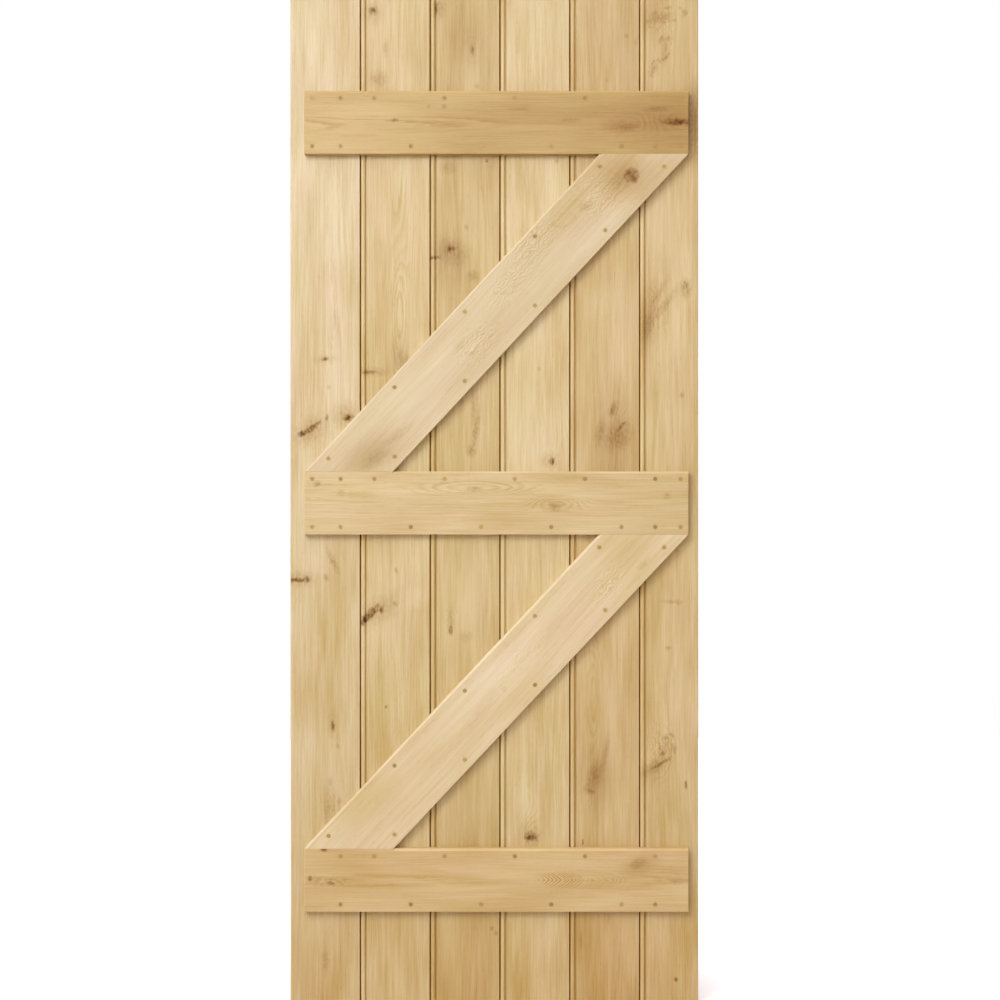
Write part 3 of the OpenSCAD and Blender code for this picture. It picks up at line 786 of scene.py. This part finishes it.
# the two braces, with the grain along their slope; edge sets the painted highlight on their chamfers
braces = {
    "upper_brace": {
        "pale": "#dcd3bc", "strength": 0.55, "pith": (12.0, 60.0), "tilt": (0.9, 0.2), "seed": 10.0,
        "ringWidth": 6.5, "rings": 0.08, "edge": (0.14, -0.3),
        "marks": (
            ("light", -130, 1312, 90, 50, 47, 0.25), ("deep", 152, 1610, 70, 55, 47, 0.5),
            ("deep", 262, 1670, 70, 60, 0, 0.9), ("warm", 262, 1672, 70, 60, 0, 0.4),
            ("deep", 325, 1682, 42, 30, 0, 0.4), ("warm", 325, 1682, 42, 30, 0, 0.4),
            ("curl", 213, 1630, 55, 50, 47, 1.0), ("curl", 72, 1533, 80, 40, 47, 0.9),
            ("curl", 30, 1455, 70, 30, 47, 0.9), ("curl", -33, 1336, 60, 36, 47, 0.9),
            ("loop", 140, 1584, 24, 12, 20, 0.3), ("loop", 72, 1532, 30, 12, 55, 0.3),
            ("loop", 22, 1452, 26, 12, 30, 0.3), ("loop", -33, 1336, 30, 12, 40, 0.3),
            ("stain", 185, 1612, 16, 9, 20, 0.6), ("cloud", 262, 1668, 54, 38, 0, 0.55),
            ("stain", 258, 1664, 30, 16, 40, 0.5), ("burl", 276, 1673, 15, 16, 0, 0.85),
            ("knot", 272, 1680, 9, 5, 30, 0.5), ("knot", 280, 1668, 6, 8, 20, 0.5),
            ("dark", 281, 1681, 4, 3, 0, 0.4), ("stain", 253, 1658, 6, 6, 0, 0.7),
            ("cloud", -252, 1112, 62, 32, 30, 0.75), ("stain", -240, 1102, 34, 14, 35, 0.6),
            ("stain", -196, 1150, 40, 8, 40, 0.5), ("cloud", -70, 1330, 14, 8, 47, 0.4),
        ),
    },
    "lower_brace": {
        "pale": "#e5dbc4", "strength": 0.55, "pith": (-24.0, 90.0), "tilt": (0.5, 0.3), "seed": 11.0,
        "ringWidth": 6.5, "rings": 0.1, "edge": (0.14, -0.3),
        "marks": (
            ("light", 11, 698, 100, 50, 47, 0.35), ("deep", -272, 400, 80, 55, 47, 0.9),
            ("deep", 285, 905, 70, 50, 47, 0.7), ("stain", 300, 890, 16, 5, 47, 0.5),
            ("stain", 20, 640, 6, 5, 47, 0.4), ("curl", 230, 850, 50, 24, 47, 1.0),
            ("curl", 40, 700, 90, 34, 47, 0.35),
        ),
    },
}
braceCut = 0.178  # metres along the level cut at a brace's end
for name, look in braces.items():
    low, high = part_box(name)
    middle = (mm * (low.x + high.x) / 2, mm * low.y, mm * (low.z + high.z) / 2)
    lean = math.degrees(math.atan2(high.z - low.z, high.x - low.x - braceCut))
    look = {**oakDefaults, **look, "marks": look["marks"] + pelletHalos(name)}
    dress(nodes[name], oak("planedOak_" + name, look, lean, middle))
print("braces dressed:", len(braces))


def pelletOak():
    material, tree = newMaterial("oiledOakPellet")
    place = addNode(tree, "TexCoord").outputs["Object"]
    noiseFrom, noiseTo = pelletLook["noise"]
    # a slow noise makes each pellet its own tone, a fine one its grain
    tone = addNode(tree, "TexNoise", {
        "Vector": place, "Scale": mm / pelletLook["each"], "Detail": 0,
    }).outputs["Fac"]
    tone = addNode(tree, "MapRange", {"Value": tone, "From Min": noiseFrom, "From Max": noiseTo}).outputs[0]
    lines = addNode(tree, "Mapping", {
        "Vector": place, "Scale": [mm / size for size in pelletLook["grain"]],
    }).outputs[0]
    grain = addNode(tree, "TexNoise", {"Vector": lines, "Scale": 1, "Detail": 2}).outputs["Fac"]
    shade = addNode(tree, "MapRange", {
        "Value": grain, "From Min": noiseFrom, "From Max": noiseTo,
        "To Min": pelletLook["shade"][0], "To Max": pelletLook["shade"][1],
    }).outputs[0]
    colour = addNode(tree, "Mix", {
        0: tone, mixA: toLinear(pelletLook["pale"]), mixB: toLinear(pelletLook["deep"]),
    }, data_type="RGBA").outputs[mixOut]
    colour = addNode(tree, "Mix", {
        0: 1.0, mixA: colour, mixB: shade,
    }, data_type="RGBA", blend_type="MULTIPLY").outputs[mixOut]
    bump = addNode(tree, "Bump", {
        "Height": grain, "Strength": pelletLook["relief"], "Distance": pelletLook["reliefDepth"],
    }).outputs[0]
    shader = addNode(tree, "BsdfPrincipled", {
        "Base Color": colour, "Roughness": pelletLook["roughness"], "Normal": bump, "IOR": pelletLook["ior"],
    })
    addNode(tree, "OutputMaterial", {"Surface": shader.outputs[0]})
    return material


# Zinc-plated steel screws, cold formed: pale grey metal with a faint yellow cast
screwLook = {"zinc": "#c9c2ae", "worn": "#a39b86", "spots": 2.5, "roughness": (0.25, 0.45)}  # spots in mm


def screwSteel():
    material, tree = newMaterial("zincPlatedSteel")
    place = addNode(tree, "TexCoord").outputs["Object"]
    spots = addNode(tree, "TexNoise", {
        "Vector": place, "Scale": mm / screwLook["spots"], "Detail": 3,
    }).outputs["Fac"]
    colour = addNode(tree, "Mix", {
        0: spots, mixA: toLinear(screwLook["zinc"]), mixB: toLinear(screwLook["worn"]),
    }, data_type="RGBA").outputs[mixOut]
    rough = addNode(tree, "MapRange", {
        "Value": spots, "To Min": screwLook["roughness"][0], "To Max": screwLook["roughness"][1],
    }).outputs[0]
    shader = addNode(tree, "BsdfPrincipled", {"Base Color": colour, "Roughness": rough, "Metallic": 1.0})
    addNode(tree, "OutputMaterial", {"Surface": shader.outputs[0]})
    return material


pelletMaterial = pelletOak()
screwMaterial = screwSteel()
for held in list(ledges) + list(braces):
    dress(nodes[held + "_pellets"], pelletMaterial)
    dress(nodes[held + "_screws"], screwMaterial)
print("fixings dressed")


# pale floor and white surroundings: what the camera sees of them is white, the light they give is softer
stageSet = {"floor": "#e9e8e6", "floorSize": 9.0, "sky": "#ffffff", "fill": "#ffc98a", "fillLight": 0.31}
# in an oval round the foot the floor glows less, so that the leaf's shadow stays on it, and the glow is a
# little cool against the warm light there; from and to are in metres, depth is the oval's front to back
footGlow = {"colour": "#ebf0ff", "atFoot": 0.54, "away": 1.0, "from": 0.4, "to": 0.85, "depth": 0.6}


def seenRays(tree):
    # 1 for what the camera sees directly, in a shine or through glass
    rays = addNode(tree, "LightPath").outputs
    seen = addNode(tree, "Math", {
        0: rays["Is Camera Ray"], 1: rays["Is Glossy Ray"],
    }, operation="MAXIMUM").outputs[0]
    return addNode(tree, "Math", {0: seen, 1: rays["Is Transmission Ray"]}, operation="MAXIMUM").outputs[0]


bpy.ops.object.select_all(action="DESELECT")
bpy.ops.mesh.primitive_plane_add(size=stageSet["floorSize"], location=(0, 0, 0))
floor = bpy.context.object
floor.name = "studioFloor"
floorMaterial, tree = newMaterial("paleStudioFloor")
place = addNode(tree, "TexCoord").outputs["Object"]
oval = addNode(tree, "Mapping", {"Vector": place, "Scale": (1.0, 1 / footGlow["depth"], 1.0)}).outputs[0]
away = addNode(tree, "VectorMath", {0: oval}, operation="LENGTH").outputs["Value"]
glow = addNode(tree, "MapRange", {
    "Value": away, "From Min": footGlow["from"], "From Max": footGlow["to"],
    "To Min": footGlow["atFoot"], "To Max": footGlow["away"],
}).outputs[0]
glow = addNode(tree, "Math", {0: seenRays(tree), 1: glow}, operation="MULTIPLY").outputs[0]
paint = addNode(tree, "BsdfDiffuse", {"Color": toLinear(stageSet["floor"])}).outputs[0]
light = addNode(tree, "Emission", {"Color": toLinear(footGlow["colour"]), "Strength": glow}).outputs[0]
both = addNode(tree, "AddShader", {0: paint, 1: light}).outputs[0]
addNode(tree, "OutputMaterial", {"Surface": both})
floor.data.materials.append(floorMaterial)

world = bpy.data.worlds.new("whiteStudio")
scene.world = world
world.use_nodes = True
tree = world.node_tree
tree.nodes.clear()
backdrop = addNode(tree, "Background", {"Color": toLinear(stageSet["sky"]), "Strength": 1.0}).outputs[0]
fill = addNode(tree, "Background", {
    "Color": toLinear(stageSet["fill"]), "Strength": stageSet["fillLight"],
}).outputs[0]
sky = addNode(tree, "MixShader", {0: seenRays(tree), 1: fill, 2: backdrop}).outputs[0]
addNode(tree, "OutputWorld", {"Surface": sky})

# a large soft key light high on the left in front of the leaf, a wide panel above the camera that lies as a
# pale sheen on the leaf's upper left, a softbox overhead for the upper edges, and one for the back
lamps = {
    "keySoftbox": {
        "place": (-1.7, -3.6, 3.0), "aim": (1.3, 0.0, -1.2), "size": 1.9, "spread": 150, "watts": 66,
    },
    "sheenPanel": {
        "place": (-0.69, -5.0, 2.54), "aim": (-0.2, 0.0, -0.4), "size": 2.2, "spread": 140, "watts": 41.5,
    },
    "overheadSoftbox": {
        "place": (-0.5, -3.0, 5.6), "aim": (0.0, 0.0, 0.6), "size": 2.0, "spread": 180, "watts": 37,
    },
    "backSoftbox": {
        "place": (2.6, 3.8, 1.5), "aim": (0.0, 0.0, 1.1), "size": 2.0, "spread": 180, "watts": 95,
    },
}
for name, lampSet in lamps.items():
    bpy.ops.object.light_add(type="AREA", location=lampSet["place"])
    lamp = bpy.context.object
    lamp.name = name
    lamp.data.shape = "DISK"
    lamp.data.size = lampSet["size"]
    lamp.data.spread = math.radians(lampSet["spread"])
    lamp.data.energy = lampSet["watts"]
    reach = [a - p for a, p in zip(lampSet["aim"], lampSet["place"])]
    lamp.rotation_euler = (
        math.atan2(math.hypot(reach[0], reach[1]), -reach[2]),
        0,
        math.atan2(reach[1], reach[0]) - math.radians(90),
    )
scene.view_settings.view_transform = "Standard"
print("stage and light set")
